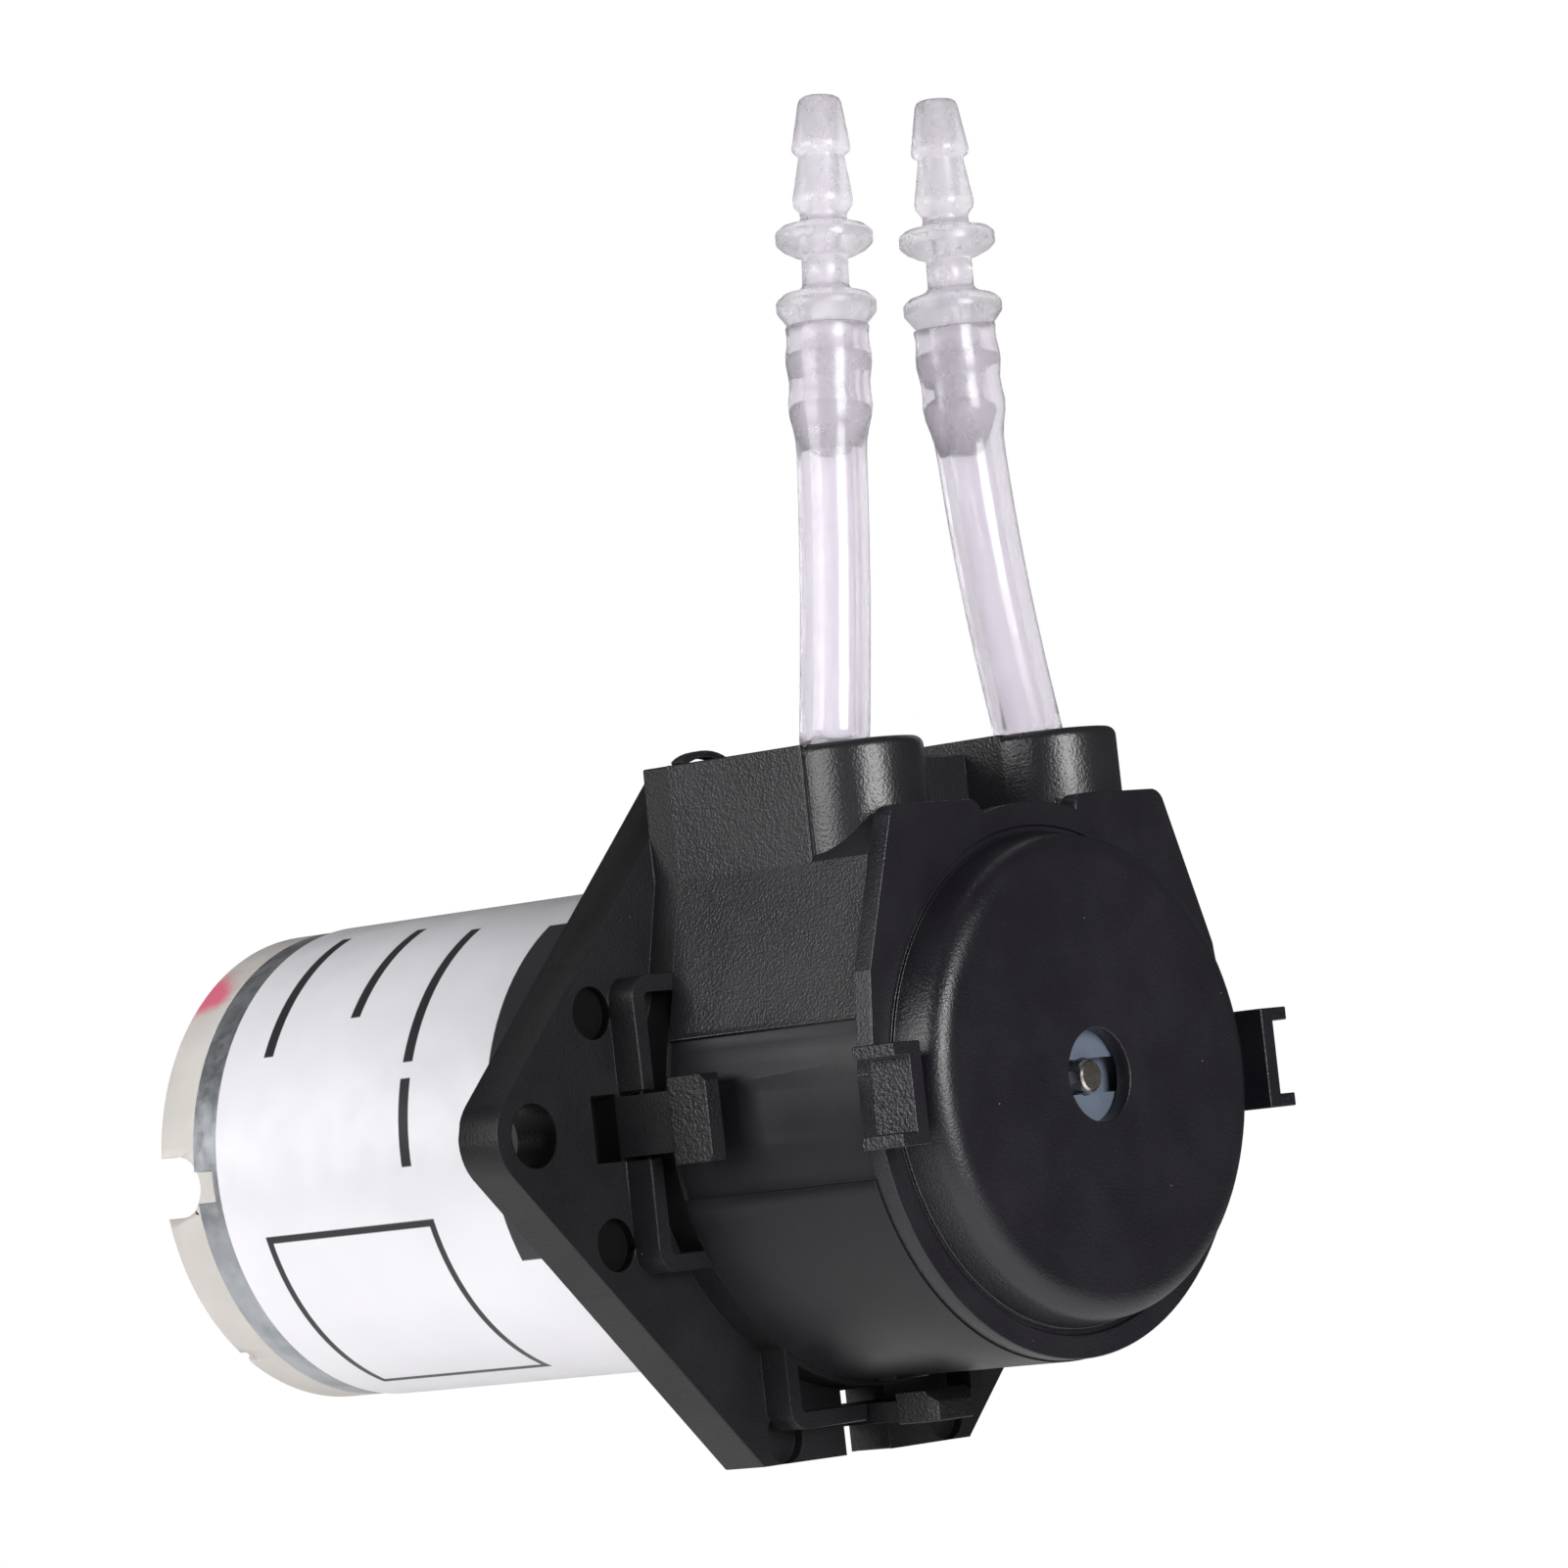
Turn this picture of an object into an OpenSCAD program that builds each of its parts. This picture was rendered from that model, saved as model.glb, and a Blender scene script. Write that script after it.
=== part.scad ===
/* [Mounting plate] */
// Distance between the two panel screw holes
hole_spacing = 62.4; // [60:0.2:66]
// Diameter of the panel screw holes
hole_d = 4.5; // [3.4:0.1:5]
// Thickness of the mounting plate
plate_t = 3.8; // [3:0.1:5]
// Half the height of the mounting plate
plate_half_h = 25.1; // [24:0.1:28]

/* [Pump head] */
// Outer radius of the round pump housing
drum_r = 19.9; // [19.5:0.1:21]
// How far the housing's front face stands in front of the panel
head_front = 24.1; // [23:0.1:27]
// Half the width of the block that holds the two hose ports
port_block_half_w = 16.1; // [15.5:0.1:17]
// Height of the hose ports' top face above the shaft
port_top = 25.15; // [24:0.05:28]
// Distance of each hose port from the middle plane
port_x = 10.65; // [10:0.05:11.5]

/* [Cover] */
// Radius of the raised disc where it meets the cover's rim
dome_r = 17.6; // [17:0.1:18]
// Height of the raised disc above the cover's rim
dome_h = 3.75; // [3:0.05:5]
// Radius of the hole that shows the shaft's end
sight_hole_r = 3.32; // [2.5:0.01:4]

/* [Rollers and tube] */
// Outer radius of the pump tube
tube_r = 2.5; // [2:0.1:2.6]
// Radius of the wall that the tube lies against
race_r = 17.4; // [17:0.1:17.5]
// Distance from the panel to the tube's middle plane
tube_plane = 17.4; // [16.5:0.1:18]
// Radius of each pressing roller
roller_r = 7.1; // [6.5:0.05:7.1]
// Length of each pressing roller
roller_len = 9; // [8:0.1:9.4]
// Radius of the shaft in the pump head
shaft_r = 1.15; // [1:0.05:1.2]

/* [Motor] */
// Radius of the motor's steel can
can_r = 17.7; // [17:0.1:18]
// Length of the motor's steel can
can_len = 44.6; // [40:0.1:50]
// Thickness of the moulded end cap behind the can
cap_t = 3.8; // [3.5:0.1:5]

/* [Hidden] */

$fn = 96;
eps = 0.02;             // overlap that makes cuts pass cleanly through a face
run_gap = 0.08;         // radial running clearance of a shaft in its hole

// Planes along the pump's axis: the panel face is y = 0 and the front of the pump points to -Y
plate_front = -plate_t;
collar_front = plate_front - 2.4;       // where the housing meets the mounting plate's collar
housing_front = -head_front;
rim_t = 1.5;                            // thickness of the cover's rim
rim_front = housing_front - rim_t;
dome_front = rim_front - dome_h;
tube_y = -tube_plane;
notch_back = collar_front - 9.2;        // wall between the ports, at the back of the notch
block_front = collar_front - 13;        // where the port block's flat flanks end

// Mounting plate
corner_r = 3.7;                         // round corner about each panel screw hole
collar_r = 17;                          // inside of the collar
skirt_reach = 22.25;                    // outer face of each side latch guard
bottom_drop = 0.5;                      // the bottom latch and its guard stand this much further out
skirt_half_w = 10.5;
skirt_wall = 1.2;
latch_w = 4.3;                          // width of a latch arm
grip_len = 3.6;                         // depth of its grip
grip_t = 2.1;
side_grip_w = 6.2;
bottom_grip_w = 4.7;
window_w = 4.8;                         // opening in the plate beside each arm
window_h = 2.6;
motor_screw_r = 12.5;                   // distance of the motor screws from the shaft
motor_boss_r = 6.5;

// Pump housing
band_half_h = 5.6;                      // smooth band on each flank, where the clips lie
chamber_r = 15.8;                       // chamber wall above the race
chamber_back = collar_front - 2.8;
boss_r = 5.1;
boss_y = tube_y - 1.5;
ear_top = 20.2;                         // top of the cover's ears, and of the housing behind them
ear_shoulder = [15.09, 19.34];          // where each ear's side runs into its round corner
ear_corner_x = 13.87;
ear_corner_r = 1.3;
notch_half_w = 5.1;
bore_gap = 0.15;                        // space round the tube in its ports

// Tube route
race_c = race_r - 0.05 - tube_r;        // radius of the tube's centre line in the race
lean = atan2(port_top, port_x) - acos(race_c / norm([port_x, port_top]));
straight = norm([port_x, port_top] - race_c * [cos(lean), sin(lean)]);

// Rollers: they roll on the shaft, and the first one stands just past the top
orbit_r = shaft_r + roller_r + 0.05;
first_roller = 83;
roller_angles = [for (i = [0:2]) first_roller + 120 * i];
roller_sweep = 14.5;                    // turn of the carrier that the pressed tube leaves room for
carrier_r = 14.2;
post_orbit = 10.2;
post_r = 1.4;
post_shoulder = 0.4;
pin_r = 1.5;
roller_front = tube_y - roller_len / 2;
roller_back = tube_y + roller_len / 2;
hub_front = dome_front + 1.5;           // face that shows in the cover's hole
shaft_tip = hub_front - 0.8;
hub_slot_half_w = 1.25;

// Motor
can_wall = 0.9;
label_t = 0.15;
label_end = can_len - 2.6;              // the can's bare rim shows behind the label
cap_notch_z = -0.5;                     // height of the notches in the end cap
cap_back = can_len + cap_t;
motor_shaft_r = 1.5875;                 // shaft inside the motor
core_r = 11.8;
core_len = 26;
core_y = 9;                             // front end of the armature core
comm_r = 4.4;
comm_y = 38.4;
comm_len = 5.6;

// Free ends of the hose: centre points [x, z] in the tube's middle plane
left_route = [[-10.65, 25.15], [-9.7, 30.5], [-8.8, 36], [-8.1, 41], [-7.5, 46], [-6.9, 51], [-6.5, 55]];
right_route = [[10.65, 25.15], [9.6, 30.5], [8.7, 36], [8.1, 41], [7.7, 46], [7.45, 51], [7.4, 55]];
left_barb_lean = 6.5;                   // each barb leans from the upright to the right by this much
right_barb_lean = 2.5;
hose_sides = 12;

// A flat outline in the x-z plane, made into a slab between two planes along y
module slab(back, front)
    translate([0, back, 0]) rotate([90, 0, 0]) linear_extrude(back - front) children();

// A round bar along y
module rod(r, back, front, fn = 96)
    slab(back, front) circle(r, $fn = fn);

// A shape turned about y, with its profile's second coordinate pointing forward from y = back
module turned(back)
    translate([0, back, 0]) rotate([90, 0, 0]) rotate_extrude() children();

module both_sides() {
    children();
    mirror([1, 0, 0]) children();
}

function arc(c, r, a0, a1, n) = [for (i = [0:n]) c + r * [cos(a0 + (a1 - a0) * i / n), sin(a0 + (a1 - a0) * i / n)]];

// ---------------------------------------------------------------- mounting plate

module plate_outline() {
    reach = hole_spacing / 2;
    k = corner_r / sqrt(2);
    top_half_w = reach + corner_r * sqrt(2) - plate_half_h;
    polygon([[top_half_w, plate_half_h], [reach + k, k], [reach + k, -k], [top_half_w, -plate_half_h],
        [-top_half_w, -plate_half_h], [-reach - k, -k], [-reach - k, k], [-top_half_w, plate_half_h]]);
    both_sides() translate([reach, 0]) circle(corner_r);
}

// The head's outline where it stands on the plate
module head_outline() {
    circle(drum_r);
    polygon([[19.05, 5.7], [port_block_half_w, 16.9], [port_block_half_w, port_top],
        [-port_block_half_w, port_top], [-port_block_half_w, 16.9], [-19.05, 5.7]]);
}

// Guard wall round one latch, drawn for a latch on +x
module latch_guard_outline(inset) {
    r = 1.6 - inset;
    reach = skirt_reach - inset;
    half_w = skirt_half_w - inset;
    polygon([[10, -half_w], [reach - r, -half_w], [reach, -half_w + r], [reach, half_w - r],
        [reach - r, half_w], [10, half_w]]);
    for (s = [-1, 1]) translate([reach - r, s * (half_w - r)]) circle(r, $fn = 32);
}

// The latches stand at the left, at the right and below, each drawn on +x
module at_side_latches() {
    for (a = [0, 180]) rotate([0, -a, 0]) children();
}
module at_bottom_latch() rotate([0, 90, 0]) translate([bottom_drop, 0, 0]) children();
module at_latches() {
    at_side_latches() children();
    at_bottom_latch() children();
}

// One snap arm with its grip, standing on the plate
module latch_arm(grip_w) {
    outer = skirt_reach + 0.3;
    arm_len = 5.2;
    translate([0, plate_front + eps, 0]) rotate([90, 0, 0]) {
        translate([outer - 1.5, -latch_w / 2, 0]) cube([1.5, latch_w, arm_len + eps]);
        translate([outer - grip_t, -grip_w / 2, arm_len]) difference() {
            cube([grip_t + 0.2, grip_w, grip_len]);
            // sloping inner face in front, and soft outer corners
            translate([0, grip_w / 2, grip_len]) rotate([0, 45, 0]) cube([1.2, 8, 1.2], center = true);
            for (s = [0, 1]) translate([grip_t, s * grip_w, grip_len]) rotate([45, 0, 0])
                cube([6, 0.7, 0.7], center = true);
        }
    }
}

module mounting_plate() color([0.10, 0.10, 0.11]) {
    difference() {
        union() {
            slab(0, plate_front) plate_outline();
            slab(plate_front + eps, collar_front) head_outline();
            at_latches() slab(plate_front + eps, collar_front) latch_guard_outline(0);
        }
        // space inside the collar and behind each guard wall
        rod(collar_r, plate_front, collar_front - 1);
        at_latches() slab(plate_front, collar_front - 1) difference() {
            latch_guard_outline(skirt_wall);
            circle(drum_r);
        }
        // each guard wall is open where its latch arm stands
        at_latches() slab(plate_front, collar_front - 1)
            translate([skirt_reach - 2, -window_w / 2]) square([4, window_w]);
        slab(0.1, plate_front - 0.1) {
            both_sides() translate([hole_spacing / 2, 0]) circle(hole_d / 2);
            circle(motor_boss_r + 0.1);
            both_sides() translate([motor_screw_r, 0]) circle(1.7, $fn = 48);
        }
        // windows outside and inside the latch arms
        at_latches() slab(0.1, plate_front - 0.1) {
            translate([skirt_reach + 0.3, -window_w / 2]) square([window_h, window_w]);
            translate([skirt_reach - 2.3, -window_w / 2]) square([1.1, window_w]);
        }
        // round relief pockets at the guards' corners
        both_sides() slab(plate_front + 0.8, plate_front - 0.1) {
            for (s = [-1, 1]) translate([24.1, s * 8.2]) circle(1.9, $fn = 48);
            translate([8.8, -23.2]) circle(1.9, $fn = 48);
        }
    }
    at_side_latches() latch_arm(side_grip_w);
    at_bottom_latch() latch_arm(bottom_grip_w);
    // small arched lifting rib on top of the collar
    translate([-11.9, collar_front + 1.2, port_top - 4.1]) rotate([90, 0, 0]) rotate([0, 0, 60])
        rotate_extrude(angle = 60) translate([4.6, 0]) square([0.5, 1.1]);
}

module motor_screws() color([0.75, 0.75, 0.76]) both_sides() translate([motor_screw_r, 0, 0]) difference() {
    union() {
        rod(1.45, 3, plate_front - 0.5, 48);
        turned(plate_front - 0.01) polygon(concat([[0, 0], [2.75, 0]], arc([0, -1.87], 3.7, 33, 90, 8)));
    }
    for (a = [0, 90]) translate([0, plate_front - 1.9, 0]) rotate([0, a, 0]) cube([3.2, 2, 0.6], center = true);
}

// ---------------------------------------------------------------- pump head

// Housing outline behind the cover's ears, a little inside them
module front_outline() {
    circle(drum_r);
    polygon([[19.05, 5.7], [port_block_half_w, 16.9], ear_shoulder - [0.5, 0.4], [ear_corner_x, ear_top - 0.5],
        [-ear_corner_x, ear_top - 0.5], [-ear_shoulder[0] + 0.5, ear_shoulder[1] - 0.4], [-port_block_half_w, 16.9],
        [-19.05, 5.7]]);
}

// Port block between its two flat flanks, with small round upright edges
module port_block() {
    r = 1.2;
    depth = collar_front - block_front;
    half_w = port_block_half_w;
    both_sides() translate([0, 0, 8]) linear_extrude(port_top - 8) {
        translate([boss_inner(), boss_y]) square([half_w - boss_inner(), collar_front - boss_y]);
        translate([port_x, block_front + r]) square([half_w - port_x, depth - r]);
        translate([port_x, block_front]) square([half_w - port_x - r, depth]);
        translate([half_w - r, block_front + r]) circle(r, $fn = 32);
    }
    translate([-6, notch_back, 8]) cube([12, collar_front - notch_back, port_top - 1 - 8]);
}

function boss_inner() = port_x - boss_r;

module port_bosses() both_sides() {
    edge = 0.7;
    translate([port_x, boss_y, 8]) rotate_extrude() polygon(concat([[0, 0], [boss_r, 0]],
        arc([boss_r - edge, port_top - 8 - edge], edge, 0, 90, 6), [[0, port_top - 8]]));
}

// Straight bore that guides the tube from the race to its port
module tube_way(r) rotate([0, -lean, 0]) translate([race_c, tube_y, -1])
    cylinder(r = r, h = straight + 6);

module pump_housing() color([0.11, 0.11, 0.12]) difference() {
    union() {
        slab(collar_front, housing_front) front_outline();
        port_block();
        intersection() {
            port_bosses();
            translate([-30, housing_front, 0]) cube([60, 30, 40]);
        }
        difference() {
            rod(collar_r - 0.15, collar_front + 1.8, collar_front - eps);
            rod(15.6, collar_front + 2, collar_front - 1);
        }
        // catches that the latch arms snap over
        for (a = [0, 180, 270]) rotate([0, -a, 0]) translate([drum_r - 1.4, collar_front - 2.6, -1.9])
            cube([1.55, 1.7, 3.8]);
    }
    // chamber for the rollers, and the race below the ports
    rod(chamber_r, chamber_back, housing_front - 1);
    slab(chamber_back, housing_front - 1) intersection() {
        circle(race_r);
        translate([-20, -20]) square([40, 20 + race_r * sin(lean)]);
    }
    both_sides() {
        tube_way(tube_r + bore_gap);
        // the guide is open to the chamber, so that the tube can be laid in from the front
        intersection() {
            rotate([0, -lean, 0]) translate([race_c - tube_r - bore_gap, housing_front - 1, 0])
                cube([2 * (tube_r + bore_gap), tube_y - housing_front + 1, straight + 6]);
            translate([0, -40, 0]) cube([30, 40, 17.2]);
        }
    }
    rod(2, 0, chamber_back - 1, 48);
    // notch between the ports, open at the top and in front
    translate([-notch_half_w, -40, dome_r + 0.1]) cube([2 * notch_half_w, 40 + notch_back, 20]);
    // smooth bands for the clips, a little below the textured flanks
    both_sides() difference() {
        slab(collar_front + 1, housing_front - 1) translate([10, -band_half_h]) square([12, 2 * band_half_h]);
        rod(drum_r - 0.4, 2, housing_front - 2);
        translate([drum_r - 1.4, collar_front - 2.6, -1.9]) cube([1.55, 1.7, 3.8]);
    }
}

// ---------------------------------------------------------------- cover

module rim_outline() {
    circle(drum_r - 0.1);
    difference() {
        union() {
            polygon([[19.75, 1.5], [18.9, 8.8], ear_shoulder, [ear_corner_x, ear_top], [-ear_corner_x, ear_top],
                [-ear_shoulder[0], ear_shoulder[1]], [-18.9, 8.8], [-19.75, 1.5]]);
            both_sides() translate([ear_corner_x, ear_top - ear_corner_r]) circle(ear_corner_r, $fn = 48);
        }
        translate([-notch_half_w, 10]) square([2 * notch_half_w, 12]);
        // round inner corners of the ears
        both_sides() difference() {
            translate([notch_half_w - 1, ear_top - 1.2]) square(2.2);
            translate([notch_half_w + 1.2, ear_top - 1.2]) circle(1.2, $fn = 32);
        }
    }
}

module front_cover() color([0.10, 0.10, 0.11]) {
    edge = 1.8;
    side_r = dome_r - 0.35;
    wall = 1.25;
    difference() {
        union() {
            slab(housing_front, rim_front) rim_outline();
            turned(rim_front + eps) polygon(concat([[0, 0], [dome_r, 0]],
                arc([side_r - edge, dome_h + eps - edge], edge, 0, 90, 10), [[0, dome_h + eps]]));
            // locating ring
            turned(housing_front + 1.2) polygon([[14.9, 0], [15.6, 0], [15.6, 1.3], [14.9, 1.3]]);
        }
        turned(housing_front + eps) polygon(concat([[0, 0], [14.9, 0]],
            arc([dome_r - 3.6, rim_t + dome_h - wall - 1.2], 1.2, 0, 90, 6), [[0, rim_t + dome_h - wall]]));
        rod(sight_hole_r, housing_front, dome_front - 1);
        // a fine recess round the disc's foot
        turned(rim_front + 0.25) polygon([[dome_r, 0], [dome_r + 0.5, 0], [dome_r + 0.5, 1], [dome_r, 1]]);
    }
    both_sides() cover_tab();
}

// Spring tab on the cover's side: a channel that is open outwards
module cover_tab() {
    web = 1.3;
    half_h = 3.6;
    rib_t = 0.95;
    rib_reach = 2.9;
    tab_len = rim_front + eps - dome_front;
    translate([18.8, dome_front, -half_h]) cube([web, tab_len, 2 * half_h]);
    for (s = [-1, 1]) translate([18.8, dome_front, s * (half_h - rib_t / 2) - rib_t / 2])
        cube([rib_reach, tab_len, rib_t]);
}

// ---------------------------------------------------------------- tube and hose ends

// How far out a roller reaches at a given angle, over its small sweep
function off_roller(a, c) = let (d = ((a - c) % 360 + 540) % 360 - 180)
    d < 0 ? -d : d > roller_sweep ? d - roller_sweep : 0;
function reach_at(d) = orbit_r * sin(d) >= roller_r ? 0
    : orbit_r * cos(d) + sqrt(pow(roller_r, 2) - pow(orbit_r * sin(d), 2));
function pressed(a) = max([for (c = roller_angles) off_roller(a, c) > 50 ? 0 : reach_at(off_roller(a, c))]);
// Half the tube's thickness and half its width at an angle of the race
function half_t(a) = min(tube_r, (race_r - 0.05 - pressed(a) - 0.12) / 2);
function half_w(a) = tube_r + 0.6 * (tube_r - half_t(a));

function oval(a, centre, t, w) = [for (j = [0:hose_sides - 1]) let (u = 360 * j / hose_sides)
    [(centre + t * cos(u)) * cos(a), tube_y + w * sin(u), (centre + t * cos(u)) * sin(a)]];
function shifted(ring, v) = [for (p = ring) p + v];

// Closed tube through a list of rings
module skin(rings) {
    n = len(rings[0]);
    m = len(rings);
    polyhedron(points = [for (r = rings) for (p = r) p], faces = concat(
        [[for (j = [0:n - 1]) j]],
        [for (i = [0:m - 2]) for (j = [0:n - 1]) let (k = (j + 1) % n)
            [i * n + j, (i + 1) * n + j, (i + 1) * n + k, i * n + k]],
        [[for (j = [n - 1:-1:0]) (m - 1) * n + j]]));
}

module pump_tube() color([0.90, 0.90, 0.93, 0.6]) {
    a_right = lean;
    a_left = -180 - lean;
    steps = 40;
    up_right = straight * [-sin(lean), 0, cos(lean)];
    up_left = straight * [sin(lean), 0, cos(lean)];
    skin(concat(
        [for (f = [1, 0.5]) shifted(oval(a_right, race_c, tube_r, tube_r), f * up_right)],
        [for (i = [0:steps]) let (a = a_right + (a_left - a_right) * i / steps, t = half_t(a))
            oval(a, race_r - 0.05 - t, t, half_w(a))],
        [for (f = [0.5, 1]) shifted(oval(a_left, race_c, tube_r, tube_r), f * up_left)]));
}

// Ring of a hose at point i of its route, square to the route
function route_dir(route, i) = let (a = route[max(i - 1, 0)], b = route[min(i + 1, len(route) - 1)])
    (b - a) / norm(b - a);
function hose_ring(route, i, r, d) = [for (j = [0:hose_sides - 1]) let (u = 360 * j / hose_sides)
    [route[i][0] + r * cos(u) * d[1], tube_y + r * sin(u), route[i][1] - r * cos(u) * d[0]]];

module hose_end(route, first_dir, last_dir) color([0.90, 0.90, 0.93, 0.6]) {
    n = len(route);
    skin([for (i = [n - 1:-1:0]) hose_ring(route, i, i < n - 2 ? tube_r : 3.1,
        i == 0 ? first_dir : i == n - 1 ? last_dir : route_dir(route, i))]);
}

module left_hose_end() hose_end(left_route, [sin(lean), cos(lean)], [sin(left_barb_lean), cos(left_barb_lean)]);
module right_hose_end() hose_end(right_route, [-sin(lean), cos(lean)], [sin(right_barb_lean), cos(right_barb_lean)]);

// Double-ended hose barb with two collars, standing on the end of its hose
module barb() color([0.93, 0.92, 0.94, 0.7]) rotate_extrude() difference() {
    polygon([[0, 0.01], [2.7, 0.01], [3.1, 0.5], [3.6, 1], [3.6, 1.8], [3.1, 2.3], [2.1, 2.6], [1.65, 2.9],
        [1.65, 5], [2.3, 5.2], [3.1, 5.6], [3.5, 6], [3.5, 6.8], [3, 7.3], [1.65, 7.5],
        [1.65, 8.1], [2.15, 8.9], [2.15, 9.4], [1.65, 12.3], [2.1, 12.7], [2.1, 13.2], [1.55, 16.3], [1.2, 16.7],
        [0, 16.7]]);
    translate([-1, -1]) square([1.9, 20]);
}

module on_hose(route, barb_lean) {
    end = route[len(route) - 1];
    translate([end[0], tube_y, end[1]]) rotate([0, barb_lean, 0]) children();
}
module left_barb() on_hose(left_route, left_barb_lean) barb();
module right_barb() on_hose(right_route, right_barb_lean) barb();

// ---------------------------------------------------------------- roller carrier

module at_rollers() {
    for (a = roller_angles) rotate([0, -a, 0]) children();
}
module at_posts() {
    for (a = roller_angles) rotate([0, -a - 60, 0]) translate([post_orbit, 0, 0]) children();
}

module carrier_front() color([0.32, 0.35, 0.42]) difference() {
    union() {
        rod(carrier_r, roller_front - 0.2, roller_front - 2.4);
        turned(roller_front - 2.38) polygon([[0, 0], [8.2, 0], [6.2, -hub_front + roller_front - 2.38 - 0.3],
            [5.9, -hub_front + roller_front - 2.38], [0, -hub_front + roller_front - 2.38]]);
    }
    rod(shaft_r + run_gap, roller_front + 1, hub_front - 1, 48);
    rod(1.35, hub_front + 1, hub_front - 1, 48);
    // slot across the hub's face, in which the shaft's end stands
    translate([-7, hub_front - 1, -hub_slot_half_w]) cube([14, 2.2, 2 * hub_slot_half_w]);
    at_rollers() translate([orbit_r, 0, 0]) rod(pin_r, roller_front + 1, roller_front - 3, 48);
    at_posts() rod(post_r, roller_front + 1, roller_front - 3, 48);
}

module carrier_rear() color([0.32, 0.35, 0.42]) difference() {
    union() {
        rod(carrier_r, roller_back + 2.2, roller_back + 0.2);
        rod(3.2, roller_back + 2.7, roller_back + 2);
        at_posts() {
            rod(post_r + post_shoulder, roller_back + 0.3, roller_front - 0.2);
            rod(post_r, roller_back + 0.3, roller_front - 2.9);
        }
    }
    rod(shaft_r + run_gap, roller_back + 3, roller_back - 1, 48);
    at_rollers() translate([orbit_r, 0, 0]) rod(pin_r, roller_back + 3, roller_back - 1, 48);
}

module roller_pins() color([0.80, 0.80, 0.82])
    at_rollers() translate([orbit_r, 0, 0]) rod(pin_r, roller_back + 2.2, roller_front - 2.4, 48);

module roller(i) color([0.92, 0.91, 0.88]) rotate([0, -roller_angles[i], 0]) translate([orbit_r, 0, 0])
    difference() {
        turned(roller_back) polygon([[0, 0], [roller_r - 0.5, 0], [roller_r, 0.5], [roller_r, roller_len - 0.5],
            [roller_r - 0.5, roller_len], [0, roller_len]]);
        rod(pin_r + run_gap, roller_back + 1, roller_front - 1, 48);
        for (s = [0, 1]) turned(s == 0 ? roller_back + eps : roller_front + 1.6)
            polygon([[3.2, 0], [5.6, 0], [5.6, 1.6 + eps], [3.2, 1.6 + eps]]);
    }
module roller_1() roller(0);
module roller_2() roller(1);
module roller_3() roller(2);

// ---------------------------------------------------------------- motor, turning parts

module motor_shaft() color([0.78, 0.76, 0.74]) {
    rod(motor_shaft_r, cap_back + 1.2, collar_front + 0.6, 64);
    rod(shaft_r, collar_front + 1, shaft_tip + 0.15, 64);
    turned(shaft_tip + 0.16) polygon([[0, 0], [shaft_r, 0], [shaft_r - 0.15, 0.16], [0, 0.16]]);
}

// Five-pole lamination
module core_outline() {
    difference() {
        circle(4.2);
        circle(motor_shaft_r);
    }
    for (i = [0:4]) rotate(72 * i) {
        translate([3.8, -1.6]) square([6.6, 3.2]);
        intersection() {
            difference() {
                circle(core_r);
                circle(core_r - 1.8);
            }
            polygon([[0, 0], 20 * [cos(31), -sin(31)], [20, 0], 20 * [cos(31), sin(31)]]);
        }
    }
}

module armature_core() color([0.45, 0.46, 0.48]) slab(core_y + core_len, core_y) core_outline();

module windings() color([0.72, 0.38, 0.18]) {
    slab(core_y + core_len, core_y) difference() {
        circle(core_r - 2);
        circle(4.2);
        for (i = [0:4]) {
            rotate(72 * i) translate([3.8, -1.6]) square([7, 3.2]);
            rotate(72 * i + 36) translate([5, -0.4]) square([7, 0.8]);
        }
    }
    for (y = [core_y, core_y + core_len + 3.2]) turned(y)
        polygon([[4.3, 0.01], [9.3, 0.01], [9.3, 2.2], [7.8, 3.19], [4.3, 3.19]]);
}

module commutator() color([0.80, 0.50, 0.28]) difference() {
    union() {
        rod(comm_r, comm_y + comm_len, comm_y, 64);
        rod(comm_r + 0.9, comm_y + 1, comm_y, 64);
    }
    rod(motor_shaft_r, 50, 30, 64);
    for (i = [0:4]) rotate([0, 72 * i, 0]) translate([2.8, comm_y - 1, -0.2]) cube([4, comm_len + 2, 0.4]);
}

// ---------------------------------------------------------------- motor, still parts

module motor_can() color([0.62, 0.64, 0.66]) difference() {
    union() {
        rod(can_r, can_len, 0, 128);
        rod(motor_boss_r, eps, plate_front + 1.2, 64);
    }
    rod(can_r - can_wall, can_len + 1, 1.4, 128);
    rod(4, 10, plate_front - 1, 64);
    both_sides() translate([motor_screw_r, 0, 0]) rod(1.5, 5, -1, 48);
    // slots for the end cap's tabs
    both_sides() translate([10, can_len - 1.9, cap_notch_z - 1.4]) cube([20, 3, 2.4]);
}

module motor_label() color([0.86, 0.87, 0.90]) difference() {
    rod(can_r + label_t, label_end, 0.4, 128);
    rod(can_r, can_len, -1, 128);
}

module field_magnets() color([0.25, 0.24, 0.24]) both_sides() slab(core_y + core_len + 1, core_y - 1) intersection() {
    difference() {
        circle(can_r - can_wall);
        circle(core_r + 0.7);
    }
    polygon([[0, 0], [40, -50], [40, 50]]);
}

module front_bush() color([0.78, 0.62, 0.35]) difference() {
    union() {
        rod(4, 2.4, plate_front + 1.4, 64);
        rod(4.8, 3, 1.4, 64);
    }
    rod(motor_shaft_r + 0.03, 10, -10, 64);
}

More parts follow.
